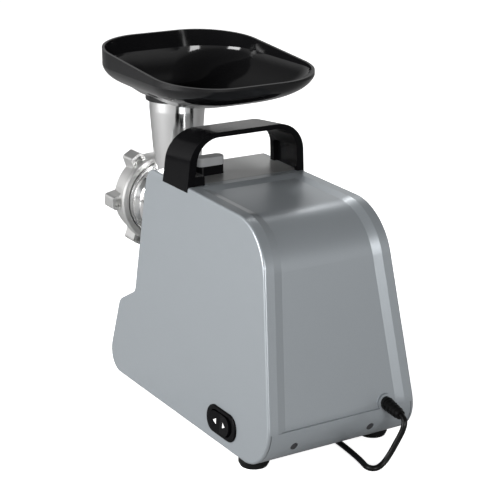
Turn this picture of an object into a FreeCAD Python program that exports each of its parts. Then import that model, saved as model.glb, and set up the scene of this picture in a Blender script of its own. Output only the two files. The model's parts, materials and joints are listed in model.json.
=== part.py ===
"""Electric meat grinder: motor housing, gear train, grinding head, tray and cord.

Millimetres. The grinder stands on z = 0, its front (the ring nut) points to -Y and the switch side is +X.
The origin lies under the middle of the grinder.
"""
import FreeCAD, Part
import math
import operator
import os
import Sketcher

os.makedirs("parts", exist_ok=True)
doc = FreeCAD.newDocument("meat_grinder")
V = FreeCAD.Vector

# Driving dimensions
SIZES = {
    # hood: side profile corners (y, z) with their radii, and the leaning side walls
    "foot_height": 8.6, "base_width": 150, "side_lean": 0.083,
    "toe_y": -117.2, "toe_r": 20,
    "ledge_y": -100.4, "ledge_z": 78, "ledge_r": 10,
    "step_y": -71.4, "step_z": 94, "step_r": 8,
    "brow_y": -61.1, "brow_z": 212.1, "brow_r": 15,
    "shoulder_y": 136.3, "shoulder_z": 207.5, "shoulder_r": 48,
    "heel_y": 174.1, "heel_r": 34,
    "wall": 4, "side_wall": 3, "edge_r": 2,
    # parting lines and the recessed rear panel
    "seam_y": 10.5, "seam_gap": 0.5, "slit": 0.6, "strip_z": 43, "base_front_y": -90,
    "panel_start": 8, "panel_border": 9.5, "panel_slope": 8, "panel_depth": 2,
    # feet
    "foot_r": 13, "rear_foot_x": 59.8, "rear_foot_y": 125.3, "front_foot_x": 46, "front_foot_y": -62,
    # handle
    "handle_front_y": -28.5, "handle_rear_y": 14.5, "handle_top_z": 251.5, "handle_rise": 0.093,
    "handle_lean": 4, "handle_leg": 7, "handle_bar": 4.5, "handle_r": 28, "handle_skin": 3,
    "handle_rim": 4.5, "plinth_x": 41.7, "plinth_height": 8,
    # release button
    "button_x": 19.8, "button_y": -16, "button_length": 27, "button_width": 12, "button_top_z": 227,
    "button_cap_z": 219, "button_end_r": 5.6, "spring_r": 5, "spring_wire_r": 0.6,
    # grinding head, along the barrel axis
    "barrel_z": 155, "throat_y": -110, "collar_front_y": -74, "tail_r": 22, "tail_bore_r": 9.4,
    "bore_r": 28, "plate_r": 31, "plate_thick": 8, "plate_rear_y": -149, "nut_rear_y": -140,
    "nut_front_y": -167.4, "nut_r": 43.5, "lobe_r": 50, "nut_bore_r": 37.2, "nut_lips_r": 28.5,
    "throat_low_r": 22.5, "throat_low_z": 207, "throat_top_r": 25.6, "throat_taper_z": 249,
    "throat_top_z": 263, "throat_wall": 3,
    # tray
    "tray_width": 152.2, "tray_length": 191.1, "tray_y": -53.7, "tray_corner_r": 54, "tray_floor_z": 263.3,
    "tray_rim_z": 305.4, "tray_slope": 0.0864, "tray_wall": 2.4, "tray_rise": 32, "tray_collar_r": 29,
    "tray_collar_z": 258.5,
    # gear train: modules, teeth and face planes measured forward from the gearbox cover
    "module_one": 0.8, "module_two": 1, "module_three": 1.25,
    "pinion_teeth": 10, "wheel_one_teeth": 40, "pinion_two_teeth": 10, "wheel_two_teeth": 32,
    "pinion_three_teeth": 11, "wheel_three_teeth": 36,
    "wheel_one_at": 8, "wheel_one_face": 8, "wheel_two_at": 22, "wheel_two_face": 10,
    "wheel_three_at": 36, "wheel_three_face": 11,
    "case_front": 54, "case_wall": 6, "case_skin": 3, "cover_thick": 4, "pin_one_r": 3, "pin_two_r": 2.5,
    "output_r": 11, "output_seat_r": 10, "output_tail_r": 7, "run_gap": 0.05,
    # motor, measured rearward from the gearbox cover
    "stack_size": 66, "stack_front": 40, "stack_rear": 80, "armature_r": 20.3, "stator_bore_r": 21,
    "shaft_r": 4, "shaft_end": 122, "bolt_offset": 28, "bracket_front": 8, "bracket_rear": 114,
    "bracket_thick": 3, "fan_r": 27, "fan_at": 18, "commutator_r": 11, "commutator_at": 94,
    # switch
    "switch_y": 96, "switch_z": 28.7, "bezel_length": 47.4, "bezel_height": 24, "bezel_proud": 1.6,
    "rocker_length": 32.4, "rocker_height": 16.6, "rocker_proud": 3.4,
    # cord
    "gland_x": -43.5, "gland_z": 47, "gland_r": 5.5, "cord_d": 5, "boot_length": 20.5, "boot_drop": 3.4,
    "coil_x": -38, "coil_y": -156, "coil_mean_r": 27.5, "tie_thick": 0.8, "tie_width": 8,
    "plug_x": 5, "plug_y": -126.5, "plug_length": 35, "plug_width": 35, "plug_thick": 13.7,
    "plug_pin_pitch": 19, "plug_pin_r": 2, "plug_pin_length": 19,
}
sheet = doc.addObject("Spreadsheet::Sheet", "Sizes")
for row, (alias, number) in enumerate(SIZES.items(), start=1):
    sheet.set(f"A{row}", alias)
    sheet.set(f"B{row}", str(number))
    sheet.setAlias(f"B{row}", alias)
doc.recompute()


class Dim:
    """A size that carries its value and the sheet expression it is bound to."""

    def __init__(self, value, text):
        self.value = value
        self.text = text

    def __add__(self, other):
        return join(self, "+", other)

    def __radd__(self, other):
        return join(other, "+", self)

    def __sub__(self, other):
        return join(self, "-", other)

    def __rsub__(self, other):
        return join(other, "-", self)

    def __mul__(self, other):
        return join(self, "*", other)

    def __rmul__(self, other):
        return join(other, "*", self)

    def __truediv__(self, other):
        return join(self, "/", other)

    def __neg__(self):
        return join(0, "-", self)


OPERATORS = {"+": operator.add, "-": operator.sub, "*": operator.mul, "/": operator.truediv}


def as_dim(size):
    return size if isinstance(size, Dim) else Dim(float(size), f"({float(size)!r})")


def join(left, sign, right):
    left, right = as_dim(left), as_dim(right)
    return Dim(OPERATORS[sign](left.value, right.value), f"({left.text} {sign} {right.text})")


def num(size):
    return as_dim(size).value


def bind(thing, prop, size):
    thing.setExpression(prop, as_dim(size).text)


class Sizes:
    """Every sheet alias as a Dim attribute."""


S = Sizes()
for alias, number in SIZES.items():
    setattr(S, alias, Dim(float(number), f"Sizes.{alias}"))


# Sketches: an outline is a list of corners (u, v) or (u, v, radius), or a Ring
class Ring:
    def __init__(self, u, v, radius):
        self.centre = (u, v)
        self.radius = radius


def draw(sketch, outlines):
    """Draw closed outlines and bind every coordinate and radius."""
    for outline in outlines:
        named = []
        first = sketch.GeometryCount
        if isinstance(outline, Ring):
            u, v = outline.centre
            sketch.addGeometry(Part.Circle(V(num(u), num(v), 0), V(0, 0, 1), num(outline.radius)), False)
            hold(sketch, named, f"u{first}", u, "DistanceX", -1, 1, first, 3)
            hold(sketch, named, f"v{first}", v, "DistanceY", -1, 1, first, 3)
            hold(sketch, named, f"r{first}", outline.radius, "Radius", first)
        else:
            draw_corners(sketch, outline, first, named)
        for name, size in named:
            bind(sketch, f"Constraints.{name}", size)


def hold(sketch, named, name, size, kind, *elements):
    index = sketch.addConstraint(Sketcher.Constraint(kind, *elements, num(size)))
    sketch.renameConstraint(index, name)
    named.append((name, size))


def draw_corners(sketch, corners, first, named):
    count = len(corners)
    points = [V(num(corner[0]), num(corner[1]), 0) for corner in corners]
    for i in range(count):
        sketch.addGeometry(Part.LineSegment(points[i], points[(i + 1) % count]), False)
    for i in range(count):
        sketch.addConstraint(Sketcher.Constraint("Coincident", first + i, 2, first + (i + 1) % count, 1))
    for i, corner in enumerate(corners):
        hold(sketch, named, f"u{first + i}", corner[0], "DistanceX", -1, 1, first + i, 1)
        hold(sketch, named, f"v{first + i}", corner[1], "DistanceY", -1, 1, first + i, 1)
    for i, corner in enumerate(corners):
        if len(corner) == 3:
            before, after = first + (i - 1) % count, first + i
            near = [middle_of(sketch.Geometry[line]) for line in (before, after)]
            sketch.fillet(before, after, near[0], near[1], num(corner[2]), True, True)
            arc = sketch.GeometryCount - 2
            hold(sketch, named, f"r{arc}", corner[2], "Radius", arc)


def middle_of(line):
    return (line.StartPoint + line.EndPoint) * 0.5


def rounded(u, v, width, height, radius):
    """A rectangle about (u, v) with rounded corners."""
    signs = ((-1, -1), (1, -1), (1, 1), (-1, 1))
    return [(u + a * width / 2, v + b * height / 2, radius) for a, b in signs]


def slab(u0, v0, u1, v1):
    """A plain rectangle between two corners."""
    return [(u0, v0), (u1, v0), (u1, v1), (u0, v1)]


# Placements: FRONTWARD turns a piece's own z axis to -Y and its own y axis up, REARWARD its z axis to +Y
UPRIGHT = FreeCAD.Rotation()
FRONTWARD = FreeCAD.Rotation(V(1, 0, 0), 90)
REARWARD = FreeCAD.Rotation(V(1, 0, 0), -90)
SKETCH_TURN = {"xy": UPRIGHT, "xz": FRONTWARD, "yz": FreeCAD.Rotation(V(1, 1, 1), 120)}
SKETCH_NORMAL = {"xy": ("z", V(0, 0, 1)), "xz": ("y", V(0, 1, 0)), "yz": ("x", V(1, 0, 0))}
pieces = []


def place(thing, base, rotation=UPRIGHT):
    thing.Placement = FreeCAD.Placement(V(*[num(size) for size in base]), rotation)
    for axis, size in zip("xyz", base):
        bind(thing, f"Placement.Base.{axis}", size)


class Piece:
    """Sketched features in a frame of their own: a sub-part, or a form that others are made from."""

    def __init__(self, label, base=(0, 0, 0), rotation=UPRIGHT, kept=True):
        self.label = label
        self.body = doc.addObject("PartDesign::Body", label)
        self.body.Label = label
        place(self.body, base, rotation)
        if kept:
            pieces.append(self.body)

    def origin(self, role):
        return next(item for item in self.body.Origin.OriginFeatures if item.Role == role)

    def sketch(self, plane, outlines, at):
        made = self.body.newObject("Sketcher::SketchObject", f"{self.label}_sketch")
        made.AttachmentSupport = (self.origin(f"{plane.upper()}_Plane"), "")
        made.MapMode = "FlatFace"
        bind(made, "AttachmentOffset.Base.z", at)
        draw(made, outlines)
        return made

    def volume(self):
        doc.recompute()
        return self.body.Shape.Volume

    def feature(self, kind, sketch):
        made = self.body.newObject(f"PartDesign::{kind}", f"{self.label}_{kind.lower()}")
        made.Profile = sketch
        return made

    def pad(self, outlines, length, at=0, plane="xy", both=False):
        made = self.feature("Pad", self.sketch(plane, outlines, at))
        made.SideType = "Symmetric" if both else "One side"
        bind(made, "Length", length)
        return made

    def pocket(self, outlines, depth, at=0, plane="xy", both=False):
        """Cut from the sketch plane against its normal, or both ways."""
        before = self.volume()
        made = self.feature("Pocket", self.sketch(plane, outlines, at))
        made.SideType = "Symmetric" if both else "One side"
        bind(made, "Length", depth)
        if self.volume() >= before:
            raise ValueError(f"{self.label}: a pocket cuts nothing")
        return made

    def turn(self, outline, kind="Revolution", plane="xz", at=0):
        """Turn an outline of (radius, height) corners about the sketch's upright axis."""
        before = self.volume() if kind == "Groove" else None
        sketch = self.sketch(plane, [outline], at)
        made = self.feature(kind, sketch)
        made.ReferenceAxis = (sketch, ["V_Axis"])
        made.Angle = 360
        if before is not None and self.volume() >= before:
            raise ValueError(f"{self.label}: a groove cuts nothing")
        return made

    def around(self, feature, count):
        made = self.body.newObject("PartDesign::PolarPattern", f"{self.label}_pattern")
        made.Originals = [feature]
        made.Axis = (self.origin("Z_Axis"), [""])
        made.Angle = 360
        bind(made, "Occurrences", count)
        self.body.Tip = made

    def soften(self, pick, radius, kind="Fillet"):
        """Fillet or chamfer the edges that pick accepts."""
        doc.recompute()
        base = self.body.Tip
        names = [f"Edge{i}" for i, edge in enumerate(base.Shape.Edges, start=1) if pick(edge)]
        made = self.body.newObject(f"PartDesign::{kind}", f"{self.label}_{kind.lower()}")
        made.Base = (base, names)
        bind(made, "Radius" if kind == "Fillet" else "Size", radius)


def at_height(z, tolerance=0.01):
    """Pick the edges that lie in one plane across the piece's own z axis."""
    return lambda edge: all(abs(vertex.Point.z - num(z)) < tolerance for vertex in edge.Vertexes)


def prism(label, plane, outlines, length, at=0, both=False, direction=None):
    """A sketch in a plane of the grinder's frame, extruded along that plane's axis."""
    axis, normal = SKETCH_NORMAL[plane]
    sketch = doc.addObject("Sketcher::SketchObject", f"{label}_sketch")
    sketch.Placement = FreeCAD.Placement(normal * num(at), SKETCH_TURN[plane])
    bind(sketch, f"Placement.Base.{axis}", at)
    draw(sketch, outlines)
    made = doc.addObject("Part::Extrusion", label)
    made.Base = sketch
    made.DirMode = "Custom"
    made.Dir = direction or normal
    made.Solid = True
    made.Symmetric = both
    bind(made, "LengthFwd", length)
    return made


def cut(label, base, tool):
    made = doc.addObject("Part::Cut", label)
    made.Base = base
    made.Tool = tool
    return made


def fuse(label, *shapes):
    made = doc.addObject("Part::MultiFuse", label)
    made.Shapes = list(shapes)
    return made


def common(label, *shapes):
    made = doc.addObject("Part::MultiCommon", label)
    made.Shapes = list(shapes)
    return made


def rod(label, radius, length, base, rotation=UPRIGHT):
    made = doc.addObject("Part::Cylinder", label)
    bind(made, "Radius", radius)
    bind(made, "Height", length)
    place(made, base, rotation)
    return made


def keep(thing):
    thing.Label = thing.Name
    pieces.append(thing)
    return thing


def solid_piece(label, shape, base=(0, 0, 0), rotation=UPRIGHT):
    """A sub-part whose form only a formula gives."""
    made = doc.addObject("Part::Feature", label)
    made.Label = label
    made.Shape = shape
    place(made, base, rotation)
    pieces.append(made)
    return made


def group(label, *shapes):
    """Separate solids that share one node."""
    made = doc.addObject("Part::Compound", label)
    made.Label = label
    made.Links = list(shapes)
    pieces.append(made)
    return made


# Hood: one profile, cut to leaning sides, hollowed, then parted into shell, front cover and base plate
FAR = 260
BELOW = -20
ROOM = 420


def half_width(z):
    return S.base_width / 2 - S.side_lean * (z - S.foot_height)


def wedge(label, inset):
    """Everything between the two leaning side planes, moved in by inset."""
    low, high = BELOW, FAR
    corners = [(half_width(low) - inset, low), (half_width(high) - inset, high),
               (inset - half_width(high), high), (inset - half_width(low), low)]
    return prism(label, "xz", [corners], ROOM, at=-ROOM / 2)


HOOD_PROFILE = [(S.toe_y, S.foot_height, S.toe_r), (S.heel_y, S.foot_height, S.heel_r),
                (S.shoulder_y, S.shoulder_z, S.shoulder_r), (S.brow_y, S.brow_z, S.brow_r),
                (S.step_y, S.step_z, S.step_r), (S.ledge_y, S.ledge_z, S.ledge_r)]


def offset_block(label, source, inset):
    """The hood profile drawn in by inset and extruded right across."""
    line = doc.addObject("Part::Offset2D", f"{label}_line")
    line.Source = source
    bind(line, "Value", -inset)
    made = doc.addObject("Part::Extrusion", label)
    made.Base = line
    made.DirMode = "Custom"
    made.Dir = V(1, 0, 0)
    made.Solid = True
    made.Symmetric = True
    made.LengthFwd = ROOM
    return made


def top_z(y):
    """Height of the hood's top line."""
    slope = (S.shoulder_z - S.brow_z) / (S.shoulder_y - S.brow_y)
    return S.brow_z + slope * (y - S.brow_y)


hood_block = prism("hood_block", "yz", [HOOD_PROFILE], ROOM, both=True)
hood_sharp = common("hood_sharp", hood_block, wedge("side_planes", 0))
doc.recompute()
hood_solid = doc.addObject("Part::Fillet", "hood_solid")
hood_solid.Base = hood_sharp
side_edges = [i for i, edge in enumerate(hood_sharp.Shape.Edges, start=1)
              if len({vertex.Point.x > 0 for vertex in edge.Vertexes}) == 1]
hood_solid.Edges = [(i, num(S.edge_r), num(S.edge_r)) for i in side_edges]
inner_block = offset_block("inner_block", hood_block.Base, S.wall)
inner_wedge = wedge("inner_planes", S.side_wall)
hood_hollow = common("hood_hollow", inner_block, inner_wedge)
hood_shell = cut("hood_shell", hood_solid, hood_hollow)


def panel_recess():
    """The shallow panel over the top and rear, with sloped sides that follow the leaning walls."""
    start = S.seam_y + S.panel_start
    rise = S.panel_depth / S.panel_slope
    inside, outside = 20, -120
    zone = prism("panel_zone", "yz", [[
        (start + inside, top_z(start) - rise * inside), (start + outside, top_z(start) - rise * outside),
        (FAR, FAR), (FAR, S.strip_z), (S.shoulder_y, S.strip_z)]], ROOM, both=True)
    floor_block = offset_block("panel_floor_block", hood_block.Base, S.panel_depth)
    floor_wedge = wedge("panel_planes", S.panel_border + S.panel_slope)
    doc.recompute()
    deep = zone.Shape.cut(floor_block.Shape)
    rim = zone.Shape.cut(hood_block.Shape)

    def section(solid, inset):
        """Outline of a solid on the side plane moved in by inset."""
        rows = [(half_width(z) - inset, z) for z in (0, FAR)]
        corners = [V(num(rows[0][0]), -FAR, rows[0][1]), V(num(rows[0][0]), FAR, rows[0][1]),
                   V(num(rows[1][0]), FAR, rows[1][1]), V(num(rows[1][0]), -FAR, rows[1][1])]
        sheet_face = Part.Face(Part.makePolygon(corners + corners[:1]))
        return sheet_face.common(solid).Faces[0].OuterWire

    slope = Part.makeLoft([section(deep, S.panel_border + S.panel_slope), section(rim, S.panel_border)],
                          True, True)
    made = doc.addObject("Part::Feature", "panel_recess")
    made.Shape = deep.common(floor_wedge.Shape).fuse([slope, slope.mirror(V(), V(1, 0, 0))])
    return made


def parting_zone(label, outline, inset):
    block = prism(f"{label}_block", "yz", [outline], ROOM, both=True)
    return common(label, block, wedge(f"{label}_planes", inset))


def front_outline(gap):
    """Side view of the room that the front cover fills, shortened by gap at both ends."""
    deep, low, back = S.brow_z - 60, S.foot_height + 30, -40
    seam, toe = S.seam_y - gap, S.base_front_y - gap
    return [(seam, FAR), (seam, deep), (back, deep), (back, low),
            (toe, low), (toe, BELOW), (-FAR, BELOW), (-FAR, FAR)]


def base_outline(gap):
    """Side view of the room that the base plate fills: the floor and the rear strip."""
    floor = S.foot_height + S.wall
    inner_y = S.shoulder_y - 20
    return [(S.base_front_y, BELOW), (FAR, BELOW), (FAR, S.strip_z - gap), (inner_y, S.strip_z - gap),
            (inner_y, floor), (S.base_front_y, floor)]


def stadium(u, v, length, height):
    return rounded(u, v, length, height, height * 0.49)


def switch_frame(depth=0):
    """Place and turn of the switch: its own x axis runs rearward and its own z axis out of the side."""
    lean = math.atan(num(S.side_lean))
    out = V(math.cos(lean), 0, math.sin(lean))
    along = V(0, 1, 0)
    turn = FreeCAD.Rotation(along, out.cross(along), out, "ZXY")
    return (half_width(S.switch_z) + depth * out.x, S.switch_y, S.switch_z + depth * out.z), turn


def housing_shell():
    recess = panel_recess()
    front_room = parting_zone("front_room", front_outline(0), S.side_wall)
    base_room = parting_zone("base_room", base_outline(0), S.side_wall)
    base, turn = switch_frame()
    bezel_lap = 3.4
    hole = Piece("switch_hole", base, turn, kept=False)
    hole.pad([stadium(0, 0, S.bezel_length - bezel_lap, S.bezel_height - bezel_lap)], 20, both=True)
    cord_hole = rod("cord_hole", S.gland_r, 40, (S.gland_x, S.shoulder_y, S.gland_z), REARWARD)
    tools = fuse("shell_cuts", recess, front_room, base_room, hole.body, cord_hole)
    walls = cut("shell_walls", hood_shell, tools)
    boss_r = 7.4
    boss = rod("cord_boss_rod", boss_r, 40, (S.gland_x, S.shoulder_y, S.gland_z), REARWARD)
    boss_in = common("cord_boss_in", boss, hood_solid)
    boss_ring = cut("cord_boss_ring", boss_in, fuse("cord_boss_cuts", hood_hollow, cord_hole, base_room))
    ledge, lug_width = S.strip_z + 0.2, 10
    lug_line = [(147, 22), (154.3, 22), (158, 30), (160.5, 38), (161.5, ledge), (165, ledge),
                (162, 60), (152, 60)]
    lugs, lug_holes = [], []
    for i, x in enumerate(SCREW_X):
        lugs.append(prism(f"screw_lug_{i}", "yz", [lug_line], lug_width, at=x - lug_width / 2))
        lug_holes.append(rod(f"lug_hole_{i}", SCREW_R, 60, (x, 120, SCREW_Z), REARWARD))
    screw_lugs = cut("screw_lugs", fuse("screw_lug_blocks", *lugs), fuse("lug_holes", *lug_holes))
    keep(fuse("housing_shell", walls, boss_ring, screw_lugs))


def front_cover():
    room = parting_zone("front_fill", front_outline(S.seam_gap), S.side_wall + S.slit / 2)
    skin = common("front_skin", hood_shell, room)
    lap_out = offset_block("lap_out", hood_block.Base, S.wall)
    lap_deep, lap_thick, lap_back, hole_r, seat_r = 7, 2.5, 6, 27.2, 33
    lap_in = offset_block("lap_in", hood_block.Base, S.wall + lap_deep)
    lap_band = cut("lap_band", lap_out, lap_in)
    lap_sides = cut("lap_sides", inner_wedge, wedge("lap_planes", S.side_wall + lap_thick))
    lap_room = parting_zone("lap_room", front_outline(S.seam_gap + lap_back), S.side_wall)
    laps = common("front_laps", lap_band, lap_sides, lap_room)
    barrel_hole = rod("barrel_hole", hole_r, 60, (0, S.brow_y + 25, S.barrel_z), FRONTWARD)
    button_line = rounded(S.button_x, S.button_y, S.button_length, S.button_width, S.button_end_r)
    button_hole = prism("button_hole", "xy", [button_line], 30, at=S.brow_z - 20)
    seat = rod("collar_seat_rod", seat_r, 20, (0, -S.case_front - FLANGE_THICK, S.barrel_z), FRONTWARD)
    body = fuse("front_body", skin, laps, common("collar_seat", seat, hood_solid))
    keep(cut("front_cover", body, fuse("front_cuts", barrel_hole, button_hole)))


def base_plate():
    room = parting_zone("base_fill", base_outline(0), S.side_wall + S.slit)
    skin = common("base_skin", hood_shell, room)
    floor = S.foot_height + S.wall
    rim_top, rim_thick, rim_length = floor + 9, 3, 150
    low, high = half_width(floor) - S.side_wall, half_width(rim_top) - S.side_wall
    ribs = [[(side * low, floor), (side * high, rim_top), (side * (high - rim_thick), rim_top),
             (side * (low - rim_thick), floor)] for side in (-1, 1)]
    rims = prism("base_rims", "xz", ribs, rim_length, at=-rim_length / 2)
    body = fuse("base_body", skin, rims)
    seat_y, hole_r, sink_r, head_r, head_thick, stem_length = S.heel_y - 13.5, 2.1, 3.4, 3.2, 1.8, 14
    openings, screws = [], []
    for i, x in enumerate(SCREW_X):
        openings.append(rod(f"strip_hole_{i}", hole_r, 60, (x, S.shoulder_y, SCREW_Z), REARWARD))
        openings.append(rod(f"strip_sink_{i}", sink_r, 30, (x, seat_y, SCREW_Z), REARWARD))
        head = rod(f"strip_head_{i}", head_r, head_thick, (x, seat_y, SCREW_Z), REARWARD)
        stem = rod(f"strip_stem_{i}", SCREW_R, stem_length, (x, seat_y - stem_length, SCREW_Z), REARWARD)
        screws.append(fuse(f"strip_screw_{i}", head, stem))
    gland = rod("gland_hole", S.gland_r, 40, (S.gland_x, S.shoulder_y, S.gland_z), REARWARD)
    keep(cut("base_plate", body, fuse("base_cuts", gland, *openings)))
    group("rear_screws", *screws)


SCREW_X = (45, -30)
SCREW_Z = 27.5
SCREW_R = 2


def feet():
    spots = {"front": (S.front_foot_x, S.front_foot_y), "rear": (S.rear_foot_x, S.rear_foot_y)}
    hole_r, hole_deep = 4, 2.4
    for end, (x, y) in spots.items():
        for side, sign in (("left", -1), ("right", 1)):
            foot = Piece(f"foot_{end}_{side}", (sign * x, y, 0))
            foot.turn([(0, 0), (S.foot_r - 1.5, 0), (S.foot_r, 3), (S.foot_r, S.foot_height - 2.6),
                       (S.foot_r - 2, S.foot_height), (0, S.foot_height)])
            foot.turn([(0, 0), (hole_r, 0), (hole_r, hole_deep), (0, hole_deep)], kind="Groove")


def handle():
    """An arch whose bar rises to the rear, hollowed in the legs, standing on the hood."""
    span = 70
    start_y = S.handle_front_y - 12
    start_top = S.handle_top_z - S.handle_rise * 12
    foot = S.brow_z - 6
    direction = V(0, 1, num(S.handle_rise))

    def arch(label, inset, top, radius, low):
        corners = [(half_width(low) - inset, low), (half_width(top) - inset, top, radius),
                   (inset - half_width(top), top, radius), (inset - half_width(low), low)]
        return prism(label, "xz", [corners], span, at=start_y, direction=direction)

    outer = arch("handle_outer", 0, start_top, S.handle_r, foot - 8)
    opening = arch("handle_opening", S.handle_leg, start_top - S.handle_bar, S.handle_r - S.handle_leg,
                   foot - 12)
    above = S.handle_top_z + 12
    side_view = prism("handle_side_view", "yz", [[
        (S.handle_front_y - 1.5, foot), (S.handle_rear_y, foot), (S.handle_rear_y + S.handle_lean, above),
        (S.handle_front_y + S.handle_lean, above), (S.handle_front_y, foot + 14)]], ROOM, both=True)
    front, rear = S.handle_front_y + S.handle_rim, S.handle_rear_y - S.handle_rim
    hollow_top, hollow_r, hollow_lean = foot + 26, 5, 2
    hollow_view = prism("handle_hollow_view", "yz", [[
        (front, foot), (rear, foot), (rear + hollow_lean, hollow_top, hollow_r),
        (front + hollow_lean, hollow_top, hollow_r)]], ROOM, both=True)
    hollow_in = wedge("handle_hollow_planes", S.handle_skin)
    arch_solid = cut("handle_arch", common("handle_band", outer, side_view), opening)
    plinth_line = slab(S.handle_front_y, foot, S.handle_rear_y, top_z(0) + S.plinth_height)
    plinth = prism("handle_plinth", "yz", [plinth_line], half_width(S.brow_z) - S.plinth_x - 4, at=S.plinth_x)
    hollows = common("handle_hollows", hollow_view, hollow_in)
    legs = cut("handle_legs", arch_solid, hollows)
    whole = fuse("handle_whole", legs, plinth)
    keep(cut("handle", whole, hood_solid))


def release_button():
    def pill(slack):
        return rounded(0, 0, S.button_length - slack, S.button_width - slack, S.button_end_r - slack / 2)

    cap = Piece("release_button_cap", (S.button_x, S.button_y, S.button_cap_z))
    cap.pad([pill(0)], S.button_top_z - S.button_cap_z)
    cap.soften(at_height(S.button_top_z - S.button_cap_z), 1.5)
    stem = Piece("release_button_stem", (S.button_x, S.button_y, 0))
    seat = 206.5
    stem.pad([pill(0.6)], S.button_cap_z - seat, at=seat)
    stem.pad([pill(-4)], 3, at=seat - 3)
    stem.pad([Ring(0, 0, 3)], 6, at=seat - 9)
    low, high = SPRING_SEAT_Z, seat - 3
    turns = 5
    gap = num(S.spring_wire_r) + 0.05
    helix = Part.makeHelix((high - low - 2 * gap) / turns, high - low - 2 * gap, num(S.spring_r))
    wire_end = Part.Wire(Part.makeCircle(num(S.spring_wire_r), V(num(S.spring_r), 0, 0), V(0, 1, 0)))
    coil = Part.Wire(helix).makePipeShell([wire_end], True, True)
    solid_piece("button_spring", coil, (S.button_x, S.button_y, low + gap))


SPRING_SEAT_Z = 187


def at_barrel(label):
    """A piece on the barrel axis: its own z axis runs forward from y = 0 and its own y axis is up."""
    return Piece(label, (0, 0, S.barrel_z), FRONTWARD)


def socket_collar():
    rear = S.case_front
    front = -S.collar_front_y
    collar = at_barrel("socket_collar")
    face = rear + FLANGE_THICK
    bore_r, flange_r, sleeve_r, track_r, slot_half = S.tail_r + 0.35, 34, 26.6, 25.2, 5.5
    track_rear, track_front = LUG_REAR - 0.5, LUG_FRONT + 0.5
    collar.turn([(bore_r, rear), (flange_r, rear), (flange_r, face), (sleeve_r, face), (sleeve_r, front, 1.5),
                 (bore_r, front)])
    collar.turn(slab(S.tail_r, track_rear, track_r, track_front), kind="Groove")
    slot = slab(S.tail_r - 4, -slot_half, track_r, slot_half)
    quarter = math.cos(math.radians(BAYONET_TURN))
    slots = []
    for side in (-1, 1):
        slots.append([(side * quarter * (u - v), side * quarter * (u + v)) for u, v in slot])
    collar.pocket(slots, front - LUG_REAR, at=front)
    for radius, depth in ((SCREW_R, FLANGE_THICK), (HEAD_R, HEAD_THICK)):
        collar.pocket([Ring(x, z, radius) for x, z in COLLAR_BOLTS], depth, at=face)
    screws = []
    for i, (x, z) in enumerate(COLLAR_BOLTS):
        seat_y, height = HEAD_THICK - face, S.barrel_z + z
        head = rod(f"collar_head_{i}", HEAD_R, HEAD_THICK, (x, seat_y, height), FRONTWARD)
        stem = rod(f"collar_stem_{i}", SCREW_R, COLLAR_STEM, (x, seat_y + COLLAR_STEM, height), FRONTWARD)
        screws.append(fuse(f"collar_screw_{i}", head, stem))
    group("collar_screws", *screws)


FLANGE_THICK = 4
HEAD_R, HEAD_THICK = 3.3, 2
COLLAR_STEM = 7.5
BOLT_OUT = 21.4
COLLAR_BOLTS = [(a * BOLT_OUT, b * BOLT_OUT) for a in (-1, 1) for b in (-1, 1)]
LUG_REAR, LUG_FRONT = 59, 65
BAYONET_TURN = 45
# Head: gap to the collar's end, then the barrel's rear wall and the flare of its bore
STOP_GAP, BORE_WALL, BORE_FLARE = 0.3, 4, 2


def head_body():
    """Barrel with a bayonet tail and a tapered upright throat."""
    stop = -S.collar_front_y + STOP_GAP
    thread_rear = -S.nut_rear_y - 2
    front = -S.plate_rear_y + S.plate_thick - 1
    head = at_barrel("head_body")
    tail_end, thread_r = S.case_front + 0.6, S.nut_bore_r - 0.6
    head.turn([(0, tail_end), (S.tail_r, tail_end, 1), (S.tail_r, stop), (28, stop, 1.5), (28.5, stop + 5),
               (33, 126), (36.8, 128), (36.8, 131), (35, 131.6), (35, 133), (37, 133.6), (37, 136),
               (35.2, 136.6), (35.2, thread_rear), (thread_r, thread_rear), (thread_r, front), (0, front)])
    lug_out, lug_in, lug_half = 24.2, S.tail_r - 1, 4.5
    lugs = [slab(-lug_out, -lug_half, -lug_in, lug_half), slab(lug_in, -lug_half, lug_out, lug_half)]
    head.pad(lugs, LUG_FRONT - LUG_REAR, at=LUG_REAR)
    throat_at = -S.throat_y
    low, taper = S.throat_low_z - S.barrel_z, S.throat_taper_z - S.barrel_z
    top = S.throat_top_z - S.barrel_z
    lean = (S.throat_top_r - S.throat_low_r) / (taper - low)
    root_r = S.throat_low_r - lean * low
    head.turn([(0, 0), (root_r, 0), (S.throat_top_r, taper), (S.throat_top_r, top), (0, top)],
              plane="xy", at=throat_at)
    inside = S.throat_top_r - S.throat_wall
    head.turn([(0, 0), (root_r - S.throat_wall, 0), (inside, taper), (inside, top + 1), (0, top + 1)],
              kind="Groove", plane="xy", at=throat_at)
    bore_rear, beyond = stop + BORE_WALL, 40
    seat, seat_r = front - S.plate_thick + 1, S.plate_r + 0.3
    head.turn([(0, beyond), (S.tail_bore_r, beyond), (S.tail_bore_r, bore_rear),
               (S.bore_r, bore_rear + BORE_FLARE), (S.bore_r, seat), (seat_r, seat), (seat_r, front + 5),
               (0, front + 5)], kind="Groove")


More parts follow.
